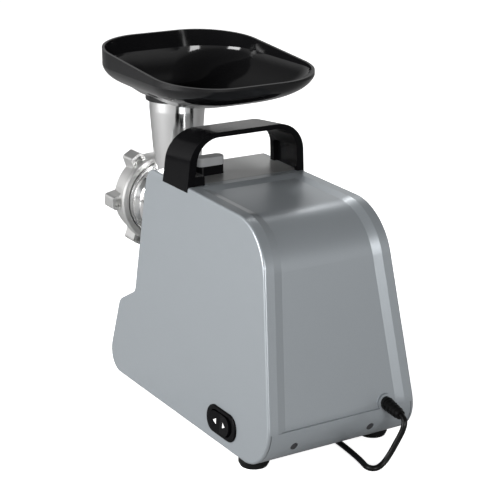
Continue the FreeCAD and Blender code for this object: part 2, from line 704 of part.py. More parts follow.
def ring_nut():
    rear, front = -S.nut_rear_y, -S.nut_front_y
    lip = -S.plate_rear_y + S.plate_thick + 0.4
    nut = at_barrel("ring_nut")
    nut.turn([(S.nut_bore_r, rear), (S.nut_r - 1.5, rear), (S.nut_r, rear + 1.5), (S.nut_r, rear + 6),
              (S.nut_r - 2.5, rear + 8), (S.nut_r - 3.5, front - 3), (S.nut_r - 7, front),
              (S.nut_lips_r + 4, front), (S.nut_lips_r, front - 4),
              (S.nut_lips_r, lip), (S.nut_bore_r, lip)])
    lobes, root, room, tip = 6, S.nut_r - 6, S.nut_r - 3, S.lobe_r - 2.5
    lobe_line = [(root, -8.5), (S.lobe_r, -6, 3), (S.lobe_r, 6, 3), (root, 8.5)]
    lobe = nut.pad([lobe_line], front - rear - 9, at=rear + 7)
    nut.around(lobe, lobes)
    hollow = nut.pocket([[(room, -4.5), (tip, -3.6), (tip, 3.6), (room, 4.5)]], 9, at=rear + 16)
    nut.around(hollow, lobes)


# Dish of the tray, as shares of the whole: rise above the floor, how far the sides, front and rear are
# drawn in from the rim, and the corner radius
TRAY_SECTIONS = ((0, 0.64, 0.06, 0.44, 0.444), (0.25, 0.43, 0.04, 0.24, 0.611), (0.5, 0.23, 0.022, 0.1, 0.796),
                 (0.76, 0.065, 0.007, 0.027, 0.944), (1, 0, 0, 0, 1))


def tray_form(label, inset, lift):
    """A dished loft that stands on the throat's end and opens into upright walls."""
    form = Piece(label, (0, S.tray_y, 0), kept=False)
    half_x, half_y = S.tray_width / 2, S.tray_length / 2
    outlines = []
    for rise, side, front, rear, turn in TRAY_SECTIONS:
        x = half_x * (1 - side) - inset
        y_front = S.tray_length * front - half_y + inset
        y_rear = half_y - S.tray_length * rear - inset
        corner = S.tray_corner_r * turn - inset
        outline = [(-x, y_front, corner), (x, y_front, corner), (x, y_rear, corner), (-x, y_rear, corner)]
        outlines.append((S.tray_floor_z + lift + S.tray_rise * rise, outline))
    sketches = [form.sketch("xy", [outline], at) for at, outline in outlines]
    dish = form.feature("AdditiveLoft", sketches[0])
    dish.Sections = sketches[1:]
    rim_at, rim = outlines[-1]
    form.pad([rim], 40, at=rim_at)
    return form.body


def hopper_tray():
    """A dished tray, hollow, with a sloping rim and a short collar that drops over the throat."""
    block = tray_form("tray_block", 0, 0)
    hollow = tray_form("tray_hollow", S.tray_wall, S.tray_wall)
    reach = S.tray_length / 2 + 5
    rim_rear, rim_front = S.tray_rim_z - S.tray_slope * reach, S.tray_rim_z + S.tray_slope * reach
    front, rear, over = S.tray_y - reach, S.tray_y + reach, S.tray_rim_z + 60
    above_line = [(front, rim_front), (rear, rim_rear), (rear, over), (front, over)]
    above = prism("tray_above", "yz", [above_line], ROOM, both=True)
    bowl = cut("tray_bowl", block, fuse("tray_inside", hollow, above))
    throat = (0, S.throat_y)
    collar_height = S.tray_floor_z + 1 - S.tray_collar_z
    collar = rod("tray_collar", S.tray_collar_r, collar_height, (*throat, S.tray_collar_z))
    socket_low = S.tray_collar_z - 5
    socket = rod("tray_socket", S.throat_top_r + 0.3, S.throat_top_z + 0.2 - socket_low, (*throat, socket_low))
    hole = rod("tray_hole", S.throat_top_r - S.throat_wall + 0.6, 40, (*throat, S.tray_collar_z))
    keep(cut("hopper_tray", fuse("tray_body", bowl, collar), fuse("tray_openings", socket, hole)))


def gear_outline(module, teeth, space_up):
    """Corners of a spur gear with involute flanks, a tooth or a space centred on its own +y axis."""
    pressure = math.radians(25)
    backlash, root_depth, tip_height = 0.12, 1.05, 0.8
    pitch_r = module * teeth / 2
    base_r = pitch_r * math.cos(pressure)
    root_r, tip_r = pitch_r - root_depth * module, pitch_r + tip_height * module
    flank_r = max(base_r, root_r)
    radii = [root_r, flank_r + 0.001, (flank_r + tip_r) / 2, tip_r]
    half_tooth = (math.pi / 2 - backlash) / teeth + math.tan(pressure) - pressure

    def half_angle(radius):
        angle = math.acos(min(1, base_r / radius))
        return half_tooth - (math.tan(angle) - angle)

    corners = []
    for tooth in range(teeth):
        middle = math.pi / 2 + 2 * math.pi * (tooth + (0.5 if space_up else 0)) / teeth
        flank = [(radius, half_angle(max(radius, flank_r))) for radius in radii]
        for radius, half in flank:
            corners.append(V(radius * math.cos(middle - half), radius * math.sin(middle - half), 0))
        for radius, half in reversed(flank):
            corners.append(V(radius * math.cos(middle + half), radius * math.sin(middle + half), 0))
    return corners


def gear_solid(module, teeth, at, face, space_up=False):
    corners = gear_outline(num(module), int(num(teeth)), space_up)
    outline = Part.Face(Part.makePolygon(corners + corners[:1]))
    solid = outline.extrude(V(0, 0, num(face)))
    solid.translate(V(0, 0, num(at)))
    return solid


def disc(radius, at, length):
    return Part.makeCylinder(num(radius), num(length), V(0, 0, num(at)))


def centre_distance(module, first, second):
    return module * (first + second) / 2


IDLER_TWO_Z = S.barrel_z - centre_distance(S.module_three, S.pinion_three_teeth, S.wheel_three_teeth)
IDLER_ONE_Z = IDLER_TWO_Z - centre_distance(S.module_two, S.pinion_two_teeth, S.wheel_two_teeth)
MOTOR_Z = IDLER_ONE_Z - centre_distance(S.module_one, S.pinion_teeth, S.wheel_one_teeth)


def gear_train():
    """Two idler clusters on fixed pins and the output gear. Every lower gear has a tooth upward at rest."""
    play, through = 0.4, 80
    case_in = S.case_front - S.case_wall
    cover_in = S.cover_thick / 2
    first = gear_solid(S.module_one, S.wheel_one_teeth, S.wheel_one_at, S.wheel_one_face, space_up=True)
    pinion_end, hub_r = S.wheel_two_at + S.wheel_two_face + 1, 5
    pinion = gear_solid(S.module_two, S.pinion_two_teeth, S.wheel_one_at, pinion_end - S.wheel_one_at)
    rear_hub = disc(hub_r, cover_in + play, S.wheel_one_at - cover_in - play)
    front_hub = disc(hub_r, pinion_end, case_in - play - pinion_end)
    bore = disc(S.pin_one_r + S.run_gap, 0, through)
    cluster = first.fuse([pinion, rear_hub.fuse(front_hub)]).cut(bore).removeSplitter()
    solid_piece("idler_gear_one", cluster, (0, 0, IDLER_ONE_Z), FRONTWARD)

    second = gear_solid(S.module_two, S.wheel_two_teeth, S.wheel_two_at, S.wheel_two_face, space_up=True)
    pinion = gear_solid(S.module_three, S.pinion_three_teeth, S.wheel_two_at, case_in - play - S.wheel_two_at)
    hub = disc(3.9, cover_in + play, S.wheel_two_at - cover_in - play)
    cluster = second.fuse([pinion, hub]).cut(disc(S.pin_two_r + S.run_gap, 0, through)).removeSplitter()
    solid_piece("idler_gear_two", cluster, (0, 0, IDLER_TWO_Z), FRONTWARD)

    output = gear_solid(S.module_three, S.wheel_three_teeth, S.wheel_three_at, S.wheel_three_face,
                        space_up=True)
    web_deep, web_out, web_in = 3, 19, 13.5
    web = disc(web_out, S.wheel_three_at, web_deep).cut(disc(web_in, S.wheel_three_at, web_deep))
    far_web = web.translated(V(0, 0, num(S.wheel_three_face) - web_deep))
    output = output.cut([disc(S.output_seat_r, 0, through), web, far_web])
    solid_piece("output_gear", output, (0, 0, S.barrel_z), FRONTWARD)

    pin_length = S.case_front - PIN_COVER + cover_in
    for label, radius, height in (("one", S.pin_one_r, IDLER_ONE_Z), ("two", S.pin_two_r, IDLER_TWO_Z)):
        keep(rod(f"idler_pin_{label}", radius, pin_length, (0, cover_in, height), FRONTWARD))


PIN_COVER = 3


def output_shaft():
    shaft = at_barrel("output_shaft")
    nose = S.case_front + 0.2
    gear_end, tail_end, step = S.wheel_three_at + S.wheel_three_face, -4, 6
    shaft.turn([(0, tail_end), (S.output_tail_r, tail_end, 0.8), (S.output_tail_r, step),
                (S.output_seat_r, step), (S.output_seat_r, gear_end), (S.output_r, gear_end),
                (S.output_r, nose), (0, nose)])
    shaft.pocket([hexagon(HEX_R + 0.1)], 18, at=nose)
    for label, inner, outer, rear, front in (
            ("output_bush_front", S.output_r, BUSH_FRONT_R, S.case_front - S.case_wall, S.case_front),
            ("output_bush_rear", S.output_tail_r, BUSH_REAR_R, -S.cover_thick / 2 - 2, S.cover_thick / 2)):
        bush = at_barrel(label)
        bush.turn([(inner + S.run_gap, rear), (outer, rear), (outer, front), (inner + S.run_gap, front)])


HEX_R = 7
BUSH_FRONT_R, BUSH_REAR_R = 15, 10


def hexagon(radius):
    angles = [math.radians(60 * i) for i in range(6)]
    return [(radius * math.cos(angle), radius * math.sin(angle)) for angle in angles]


def auger():
    """Feed screw: hexagonal tail, tapered core, one helical flight, square and round nose."""
    bore_rear = -num(S.collar_front_y) + STOP_GAP + BORE_WALL + BORE_FLARE
    knife_rear = -num(S.plate_rear_y) - KNIFE_THICK
    front = knife_rear - 1.2
    rear = bore_rear + 1
    tail_r = num(S.tail_bore_r) - 0.4
    core_r = 10
    sixes = [V(u, v, num(S.case_front) - 15) for u, v in hexagon(HEX_R)]
    tail = Part.Face(Part.makePolygon(sixes + sixes[:1])).extrude(V(0, 0, 18))
    neck = disc(tail_r, num(S.case_front) + 1, rear - num(S.case_front))
    core = [tail, neck, disc(core_r, rear, front - rear)]
    half = SQUARE / 2
    core.append(Part.makeBox(SQUARE, SQUARE, KNIFE_THICK + 0.9, V(-half, -half, front)))
    nose_r = 4.4
    core.append(disc(nose_r, front, num(S.plate_thick - S.plate_rear_y) - front))
    flight = helical_flight(core_r - 1.5, num(S.bore_r) - 0.7, rear + 2, front - 5, 2)
    solid_piece("auger", core[0].fuse(core[1:] + [flight]), (0, 0, S.barrel_z), FRONTWARD)


def helical_flight(inner, outer, start, end, turns):
    """A flight built from flat triangles between rings of four corners."""
    steps = 18 * turns
    root, tip = 3.2, 1.6
    rings = []
    for i in range(steps + 1):
        angle = 2 * math.pi * turns * i / steps
        height = start + 2 + (end - start - 4) * i / steps
        across = V(math.cos(angle), math.sin(angle), 0)
        rings.append([across * radius + V(0, 0, height + rise)
                      for radius, rise in ((inner, -root), (outer, -tip), (outer, tip), (inner, root))])
    faces = [Part.Face(Part.makePolygon(ring + ring[:1])) for ring in (rings[0], rings[-1])]
    for here, there in zip(rings, rings[1:]):
        for k in range(4):
            a, b, c, d = here[k], here[(k + 1) % 4], there[(k + 1) % 4], there[k]
            faces.append(Part.Face(Part.makePolygon([a, b, c, a])))
            faces.append(Part.Face(Part.makePolygon([a, c, d, a])))
    return Part.Solid(Part.Shell(faces))


KNIFE_THICK = 6.5
SQUARE = 9


def knife_and_plate():
    rear = -S.plate_rear_y
    knife = at_barrel("knife")
    reach, root, tip = 26.4, 5.5, 4
    blade = [[(-root, 0), (root, 0), (tip + 2.5, reach), (-tip, reach)]]
    hub_r = 10
    knife.pad([Ring(0, 0, hub_r)], KNIFE_THICK, at=rear - KNIFE_THICK - 0.1)
    arm = knife.pad(blade, KNIFE_THICK - 2, at=rear - KNIFE_THICK + 1.9)
    knife.around(arm, 4)
    slack = SQUARE / 2 + 0.05
    knife.pocket([slab(-slack, -slack, slack, slack)], 30, at=rear + 5)

    plate = at_barrel("grinding_plate")
    plate.pad([Ring(0, 0, S.plate_r)], S.plate_thick, at=rear)
    through, beyond, centre_r, hole_r = 20, rear + 15, 4.8, 2.7
    plate.pocket([Ring(0, 0, centre_r)], through, at=beyond)
    for count, radius in ((7, 10.5), (13, 17.2), (19, 24)):
        hole = plate.pocket([Ring(radius, 0, hole_r)], through, at=beyond)
        plate.around(hole, count)


def case_outline(inset):
    """Front view of the gearbox about the barrel axis, as (x, height above the barrel axis)."""
    top, low, wide, narrow = 31 - inset, -96 + inset, 30 - inset, 24 - inset
    top_r, low_r = 22 - inset, 18 - inset
    return [(-wide, top, top_r), (-narrow, low, low_r), (narrow, low, low_r), (wide, top, top_r)]


EARS = ((-29, -20), (29, -20), (-27, -62), (27, -62))
EAR_R, EAR_HOLE_R = 5, 1.6


def gearbox():
    rear, front = S.cover_thick / 2, S.case_front
    case = at_barrel("gearbox_case")
    case.pad([case_outline(0)], front - rear, at=rear)
    for x, z in EARS:
        case.pad([Ring(x, z, EAR_R)], 12, at=rear)
    post, post_low = 8, 14
    post_line = slab(S.button_x - post, post_low, S.button_x + post, SPRING_SEAT_Z - S.barrel_z)
    case.pad([post_line], 2 * post, at=-S.button_y - post)
    case.pocket([case_outline(S.case_skin)], front - rear - S.case_wall, at=front - S.case_wall)
    case.pocket([Ring(0, 0, BUSH_FRONT_R)], 30, at=front + 5)
    pins = ((IDLER_ONE_Z, S.pin_one_r), (IDLER_TWO_Z, S.pin_two_r))
    pin_holes = [Ring(0, height - S.barrel_z, radius) for height, radius in pins]
    case.pocket(pin_holes, S.case_wall - PIN_COVER, at=front - PIN_COVER)
    case.pocket([Ring(x, z, SCREW_R) for x, z in COLLAR_BOLTS], S.case_wall, at=front)
    case.pocket([Ring(x, z, EAR_HOLE_R) for x, z in EARS], 11, at=rear + 10)
    cover = at_barrel("gearbox_cover")
    cover.pad([case_outline(0)], S.cover_thick, at=-S.cover_thick / 2)
    drop = MOTOR_Z - S.barrel_z
    cover.pad([rounded(0, drop, S.stack_size, S.stack_size, 8)], S.cover_thick, at=-S.cover_thick / 2)
    for x, z in EARS:
        cover.pad([Ring(x, z, EAR_R)], S.cover_thick, at=-S.cover_thick / 2)
    corners = [(a * S.bolt_offset, drop + b * S.bolt_offset) for a in (-1, 1) for b in (-1, 1)]
    stand_r, shaft_hole_r, through, beyond = 4.5, 7, 30, 15
    cover.pad([Ring(x, z, stand_r) for x, z in corners], S.bracket_front, at=-S.bracket_front)
    ear_holes = [Ring(x, z, EAR_HOLE_R) for x, z in EARS]
    round_holes = [Ring(0, 0, BUSH_REAR_R), Ring(0, drop, shaft_hole_r)]
    cover.pocket(round_holes + pin_holes + ear_holes, through, at=beyond)
    cover.pocket([Ring(x, z, SCREW_R) for x, z in corners], through, at=beyond)
    screws = []
    for i, (x, z) in enumerate(EARS):
        head = rod(f"ear_head_{i}", 3, 2, (x, 2 + S.cover_thick / 2, S.barrel_z + z), FRONTWARD)
        stem = rod(f"ear_stem_{i}", 1.5, 13, (x, S.cover_thick / 2, S.barrel_z + z), FRONTWARD)
        screws.append(fuse(f"ear_screw_{i}", head, stem))
    group("gearbox_screws", *screws)


def at_motor(label):
    """A piece on the motor axis: its own z axis runs rearward from y = 0 and its own y axis points down."""
    return Piece(label, (0, 0, MOTOR_Z), REARWARD)


def motor_fixed():
    size, half = S.stack_size, S.stack_size / 2
    corners = [(a * S.bolt_offset, b * S.bolt_offset) for a in (-1, 1) for b in (-1, 1)]
    length = S.stack_rear - S.stack_front
    stator = at_motor("motor_stator")
    stator.pad([rounded(0, 0, size, size, 8)], length, at=S.stack_front)
    stator.pocket([Ring(0, 0, S.stator_bore_r)], length + 20, at=S.stack_rear + 10)
    coil_slots = [slab(a * 17 - 4, b * 20 - 5, a * 17 + 4, b * 20 + 5) for a in (-1, 1) for b in (-1, 1)]
    stator.pocket(coil_slots, length + 20, at=S.stack_rear + 10)
    stator.pocket([Ring(x, y, 2.2) for x, y in corners], length + 20, at=S.stack_rear + 10)
    for kind, side in (("upper", -1), ("lower", 1)):
        coil = at_motor(f"field_coil_{kind}")
        low, high = 19.4, 24.6
        wide, narrow, overhang = 20.4, 13.6, 8.5
        coil_line = slab(-wide, side * low, wide, side * high)
        coil.pad([coil_line], length + 2 * overhang, at=S.stack_front - overhang)
        coil.pocket([slab(-narrow, side * (low - 2), narrow, side * (high + 2))], length, at=S.stack_rear)
    for label, at, hub_rear, hub_front in (("motor_front_bracket", S.bracket_front, 5, 15),
                                           ("motor_rear_bracket", S.bracket_rear, 110, 121)):
        bracket = at_motor(label)
        bracket.pad([rounded(0, 0, size, size, 8)], S.bracket_thick, at=at)
        bracket.pocket([rounded(0, side * 21, 34, 13, 4) for side in (-1, 1)], 20, at=at + 10)
        bracket.pocket([rounded(side * 23, 0, 9, 20, 4) for side in (-1, 1)], 20, at=at + 10)
        hub_r, bush_r, bore_r = 10, 7.5, S.shaft_r + S.run_gap
        bracket.pad([Ring(0, 0, hub_r)], hub_front - hub_rear, at=hub_rear)
        bracket.pocket([Ring(0, 0, bush_r)], 40, at=at + 20)
        bracket.pocket([Ring(x, y, 2.1) for x, y in corners], 20, at=at + 10)
        bush = at_motor(label.replace("bracket", "bush"))
        bush.turn([(bore_r, hub_rear), (bush_r, hub_rear), (bush_r, hub_front), (bore_r, hub_front)])
    screws = []
    seat_y, start_y, stem_r = S.bracket_rear + S.bracket_thick, 2, 1.95
    for i, (x, y) in enumerate(corners):
        head = rod(f"motor_head_{i}", 3.5, 2.5, (x, seat_y, MOTOR_Z - y), REARWARD)
        stem = rod(f"motor_stem_{i}", stem_r, seat_y - start_y, (x, start_y, MOTOR_Z - y), REARWARD)
        screws.append(fuse(f"motor_screw_{i}", head, stem))
    group("motor_screws", *screws)
    holders, brushes = [], []
    tube_line = slab(S.commutator_at + 2, MOTOR_Z - 6, S.bracket_rear, MOTOR_Z + 6)
    brush_line = slab(S.commutator_at + 4, MOTOR_Z - 4, S.commutator_at + 12, MOTOR_Z + 4)
    brush_start = S.commutator_r + 0.4
    for side in (-1, 1):
        shell = prism(f"brush_tube_{side}", "yz", [tube_line], side * 17, at=side * 14)
        room = prism(f"brush_room_{side}", "yz", [brush_line], side * 30, at=side * 10)
        holders.append(cut(f"brush_holder_{side}", shell, room))
        brushes.append(prism(f"brush_{side}", "yz", [brush_line], side * 16, at=side * brush_start))
    group("brush_holders", *holders)
    group("carbon_brushes", *brushes)
    floor = S.foot_height + S.wall
    saddle = MOTOR_Z - half
    arch_top, cradle_long, cradle_at = floor + 26, 30, 45
    cradle_line = [(-32, floor), (-22, floor), (-16, arch_top, 6), (16, arch_top, 6), (22, floor), (32, floor),
                   (27, saddle), (-27, saddle)]
    cradle = prism("cradle_block", "xz", [cradle_line], cradle_long, at=cradle_at)
    pad_lines = [slab(-40, floor, -30, floor + 4), slab(30, floor, 40, floor + 4)]
    cradle_pads = prism("cradle_pads", "xz", pad_lines, cradle_long, at=cradle_at)
    keep(fuse("motor_cradle", cradle, cradle_pads))


def motor_turning():
    pinion_front = S.wheel_one_at + S.wheel_one_face + 1
    pinion_rear = S.wheel_one_at - 1
    pinion = gear_solid(S.module_one, S.pinion_teeth, -num(pinion_front), num(pinion_front - pinion_rear))
    pinion.rotate(V(), V(1, 0, 0), 180)
    pinion.translate(V(0, 0, num(-pinion_rear - pinion_front)))
    stem = disc(S.shaft_r, -num(pinion_rear), num(S.shaft_end + pinion_rear))
    solid_piece("rotor_shaft", stem.fuse(pinion), (0, 0, MOTOR_Z), REARWARD)

    core = at_motor("armature_core")
    length = S.stack_rear - S.stack_front
    core.pad([Ring(0, 0, S.armature_r), Ring(0, 0, S.shaft_r)], length, at=S.stack_front)
    slot_line = [(11, -2), (17.5, -2.6), (17.5, -1), (22, -1), (22, 1), (17.5, 1), (17.5, 2.6), (11, 2)]
    slot = core.pocket([slot_line], length + 4, at=S.stack_rear + 2)
    core.around(slot, 12)
    overhang = 8
    for label, rear, front in (("front", S.stack_front, S.stack_front - overhang),
                               ("rear", S.stack_rear, S.stack_rear + overhang)):
        winding = at_motor(f"armature_{label}_winding")
        middle = (rear + front) / 2
        winding.turn([(S.shaft_r, rear), (18.5, rear), (18, middle), (12, front), (S.shaft_r, front)])
    commutator = at_motor("commutator")
    start, bars, end, riser_r = S.commutator_at - 3, S.commutator_at, S.commutator_at + 14, 12.5
    commutator.turn([(S.shaft_r, start), (riser_r, start), (riser_r, bars), (S.commutator_r, bars),
                     (S.commutator_r, end), (S.shaft_r, end)])
    fan = at_motor("cooling_fan")
    fan.pad([Ring(0, 0, S.fan_r), Ring(0, 0, S.shaft_r)], 1.6, at=S.fan_at)
    fan.pad([Ring(0, 0, 8), Ring(0, 0, S.shaft_r)], 10, at=S.fan_at)
    blade = fan.pad([[(8.5, -1), (S.fan_r - 1, 4), (S.fan_r - 1, 5.6), (8.5, 0.6)]], 9, at=S.fan_at)
    fan.around(blade, 9)


def switch():
    base, turn = switch_frame()
    bezel = Piece("switch_bezel", base, turn)
    length, height = S.bezel_length, S.bezel_height
    bezel.pad([stadium(0, 0, length, height)], S.bezel_proud)
    bezel.soften(at_height(S.bezel_proud), 1.1)
    bezel.pad([stadium(0, 0, length - 3.8, height - 3.8)], 12, at=-12)
    bezel.pocket([stadium(0, 0, S.rocker_length + 3, S.rocker_height + 1.4)], 30, at=15)
    bezel.pocket([Ring(0, -PIVOT_DEPTH, PIVOT_R + S.run_gap)], 60, plane="xz", both=True)
    body = Piece("switch_body", base, turn)
    body.pad([slab(-20, -9.5, 20, 9.5)], 14, at=-26)
    body.pad([slab(-14 + 12 * i - 3, -0.4, -14 + 12 * i + 3, 0.4) for i in (0, 1.15, 2.3)], 8, at=-34)
    rocker = Piece("switch_rocker", base, turn)
    rocker.pad([stadium(0, 0, S.rocker_length, S.rocker_height)], S.rocker_proud + 6, at=-6)
    reach = S.rocker_length / 2 + 2
    tip, dip, over, across = S.rocker_proud + 0.2, S.rocker_proud - 1.1, S.rocker_proud + 5, 60
    dish_line = [(-reach, tip), (0, dip), (reach, tip), (reach, over), (-reach, over)]
    rocker.pocket([dish_line], across, plane="xz", both=True)
    rocker.pad([Ring(0, -PIVOT_DEPTH, PIVOT_R)], S.rocker_height + 3, plane="xz", both=True)
    relief_lines = [[(-reach, -4.5), (-4, -6.5), (-reach, -6.5)], [(reach, -4.5), (reach, -6.5), (4, -6.5)]]
    rocker.pocket(relief_lines, across, plane="xz", both=True)


PIVOT_DEPTH = 3
PIVOT_R = 1.3


# Cord: a boot at the rear, a free run that turns back under the grinder, and a tied coil in front
def cord_radius():
    return num(S.cord_d) / 2


def cord_route():
    """Corners of the cord from the boot to the coil, chosen by eye. Heights of None lie on the floor."""
    boot_end = (num(S.gland_x), REAR_FACE_Y + num(S.boot_length), num(S.gland_z - S.boot_drop))
    free = [(-43.5, 192.2, 42.8), (-41.8, 195, 38.4), (-39.9, 194.2, 31.5), (-36.2, 192, 22.5),
            (-31.5, 189.5, 11.5), (-25, 188.4, 3.6), (-17, 189.4, None), (-13.3, 183.2, None), (-16, 173, None),
            (-18.6, 157, None), (-21.3, 131, None), (-23, 86, None), (-21, 26, None), (-16, -34, None),
            (-9.5, -84, None), (-5.8, -124, None), (-5.4, -156, COIL_LOW + cord_radius())]
    return [V(*boot_end)] + [V(x, y, cord_radius() if z is None else z) for x, y, z in free]


REAR_FACE_Y = 166.8
COIL_LOW = 0.8


def cord_path(points):
    """Straight runs joined by tangent arcs as large as the runs leave room for."""
    edges = []
    here = points[0]
    for before, corner, after in zip(points, points[1:], points[2:]):
        back, ahead = before - corner, after - corner
        turn = math.pi - back.getAngle(ahead)
        reach = 0.45 * min(back.Length, ahead.Length)
        radius = reach / math.tan(turn / 2)
        print(f"cord bend radius {radius:.1f} mm over {math.degrees(turn):.0f} degrees")
        start = corner + back.normalize() * reach
        end = corner + ahead.normalize() * reach
        bisector = (back + ahead).normalize()
        middle = corner + bisector * (radius / math.cos(turn / 2) - radius)
        edges += [Part.LineSegment(here, start).toShape(), Part.Arc(start, middle, end).toShape()]
        here = end
    edges.append(Part.LineSegment(here, points[-1]).toShape())
    return Part.Wire(edges)


def cord_tube(label, points):
    path = cord_path(points)
    heading = (points[1] - points[0]).normalize()
    ring = Part.Wire(Part.makeCircle(cord_radius(), points[0], heading))
    tube = path.makePipeShell([ring], True, False)
    expected = math.pi * cord_radius() ** 2 * path.Length
    print(f"{label} {path.Length:.0f} mm long, volume ratio {tube.Volume / expected:.4f}")
    solid_piece(label, tube)


def cord():
    route = cord_route()
    cord_tube("cord_run", route)
    start = V(num(S.gland_x), REAR_FACE_Y, num(S.gland_z))
    along = route[0] - start
    boot = Part.makeCone(5.4, 4.1, along.Length, start, along)
    collar = Part.makeCylinder(num(S.gland_r), 9, start - V(0, 6, 0), V(0, 1, 0))
    along.normalize()
    rings = [Part.makeCylinder(5.6 - 0.25 * i, 1.6, start + along * (3.5 + 4 * i), along) for i in range(4)]
    solid_piece("cord_boot", boot.fuse([collar] + rings).removeSplitter())

    spread = 1.5 * S.cord_d
    inner, outer = S.coil_mean_r - spread, S.coil_mean_r + spread
    top = COIL_LOW + 2 * S.cord_d
    coil = Piece("cord_coil", (S.coil_x, S.coil_y, 0))
    coil.turn([(inner, COIL_LOW), (outer, COIL_LOW), (outer, top), (inner, top)])
    strap_line = slab(S.coil_x - outer - S.tie_thick, 0, S.coil_x - inner + S.tie_thick, top + S.tie_thick)
    strap = prism("tie_block", "xz", [strap_line], S.tie_width, at=S.coil_y - S.tie_width / 2)
    keep(cut("cord_tie", strap, coil.body))

    plug_z = num(S.plug_thick) / 2
    coil_top = num(top) - cord_radius()
    leaving = V(num(S.coil_x) + 4, num(S.coil_y + outer) - cord_radius() - 0.3, coil_top)
    plug_x, plug_y = num(S.plug_x), num(S.plug_y)
    cord_tube("cord_tail", [leaving, V(-22, plug_y + 1.4, coil_top), V(plug_x - 9, plug_y, plug_z + 1),
                            V(plug_x, plug_y, plug_z + 0.8)])
    plug()


def plug():
    """Flat two-pin plug lying on its broad side, its own z axis along the pins."""
    turn = FreeCAD.Rotation(V(0, 1, 0), V(0, 0, 1), V(1, 0, 0), "ZXY")
    body = Piece("cord_plug", (S.plug_x, S.plug_y, S.plug_thick / 2), turn)
    wide, thick = S.plug_width / 2, S.plug_thick / 2
    neck, swell = 9, 15
    plug_line = [(-neck, 0), (neck, 0), (wide - 3, swell, 6), (wide, S.plug_length), (-wide, S.plug_length),
                 (3 - wide, swell, 6)]
    body.pad([plug_line], S.plug_thick, plane="xz", both=True)
    body.soften(lambda edge: edge.Vertexes[0].Point.z < num(S.plug_length) - 1 and all(
        abs(abs(vertex.Point.y) - num(thick)) < 0.01 for vertex in edge.Vertexes), 2)
    pins = [Ring(a * S.plug_pin_pitch / 2, 0, S.plug_pin_r) for a in (-1, 1)]
    body.pad(pins, S.plug_pin_length, at=S.plug_length)


hood_parts = (housing_shell, front_cover, base_plate, feet, handle, release_button)
drive_parts = (gear_train, output_shaft, auger, knife_and_plate, gearbox, motor_fixed, motor_turning)
for build in hood_parts + (socket_collar, head_body, ring_nut, hopper_tray) + drive_parts + (switch, cord):
    build()

# Write every sub-part once all of them are sound
doc.recompute()
for item in doc.Objects:
    if "Invalid" in item.State or "Error" in item.State:
        raise ValueError(f"{item.Label} failed: {item.State}")
for piece in pieces:
    if piece.Shape.isNull() or not piece.Shape.isValid() or not piece.Shape.Solids:
        raise ValueError(f"{piece.Label} is not a sound solid")
for piece in pieces:
    piece.Shape.exportStep(f"parts/{piece.Label}.step")
    print(f"{piece.Label}: {len(piece.Shape.Solids)} solid, {piece.Shape.Volume / 1000:.1f} cm3")
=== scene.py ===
"""Looks of the electric meat grinder: finishes, the cord, the rocker's arrows and a plain studio. Metres."""
import json
import math

import bpy
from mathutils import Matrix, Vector


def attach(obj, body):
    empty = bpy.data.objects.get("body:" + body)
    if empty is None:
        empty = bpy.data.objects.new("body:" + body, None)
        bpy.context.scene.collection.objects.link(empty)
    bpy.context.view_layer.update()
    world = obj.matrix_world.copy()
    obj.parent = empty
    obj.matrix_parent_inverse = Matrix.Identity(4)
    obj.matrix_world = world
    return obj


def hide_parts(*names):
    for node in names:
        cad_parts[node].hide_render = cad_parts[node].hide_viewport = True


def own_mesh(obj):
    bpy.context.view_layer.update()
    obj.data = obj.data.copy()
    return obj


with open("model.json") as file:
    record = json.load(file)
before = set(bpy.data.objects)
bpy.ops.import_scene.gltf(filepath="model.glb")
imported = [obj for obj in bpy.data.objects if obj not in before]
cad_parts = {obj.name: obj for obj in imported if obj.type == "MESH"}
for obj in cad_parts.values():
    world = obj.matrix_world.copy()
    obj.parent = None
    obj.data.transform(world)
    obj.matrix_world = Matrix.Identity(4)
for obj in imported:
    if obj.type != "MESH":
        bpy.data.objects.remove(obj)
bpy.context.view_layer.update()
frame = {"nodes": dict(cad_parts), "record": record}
nodes = frame["nodes"]
slot_of = {part["node"]: part["material_slot"] for part in frame["record"]["subparts"]}
MM = 0.001

# Camera, from the perspective of the housing's edges
CAMERA_AT = Vector((669.6, 1128.8, 564.6)) * MM
CAMERA_AIM = Vector((0, 20, 147.1)) * MM
LENS = 112.11
SENSOR = 36


def add_camera():
    data = bpy.data.cameras.new("camera")
    data.lens = LENS
    data.sensor_width = SENSOR
    data.clip_start = 0.01
    camera = bpy.data.objects.new("camera", data)
    camera.location = CAMERA_AT
    camera.rotation_euler = (CAMERA_AIM - CAMERA_AT).to_track_quat("-Z", "Y").to_euler()
    bpy.context.scene.collection.objects.link(camera)
    bpy.context.scene.camera = camera


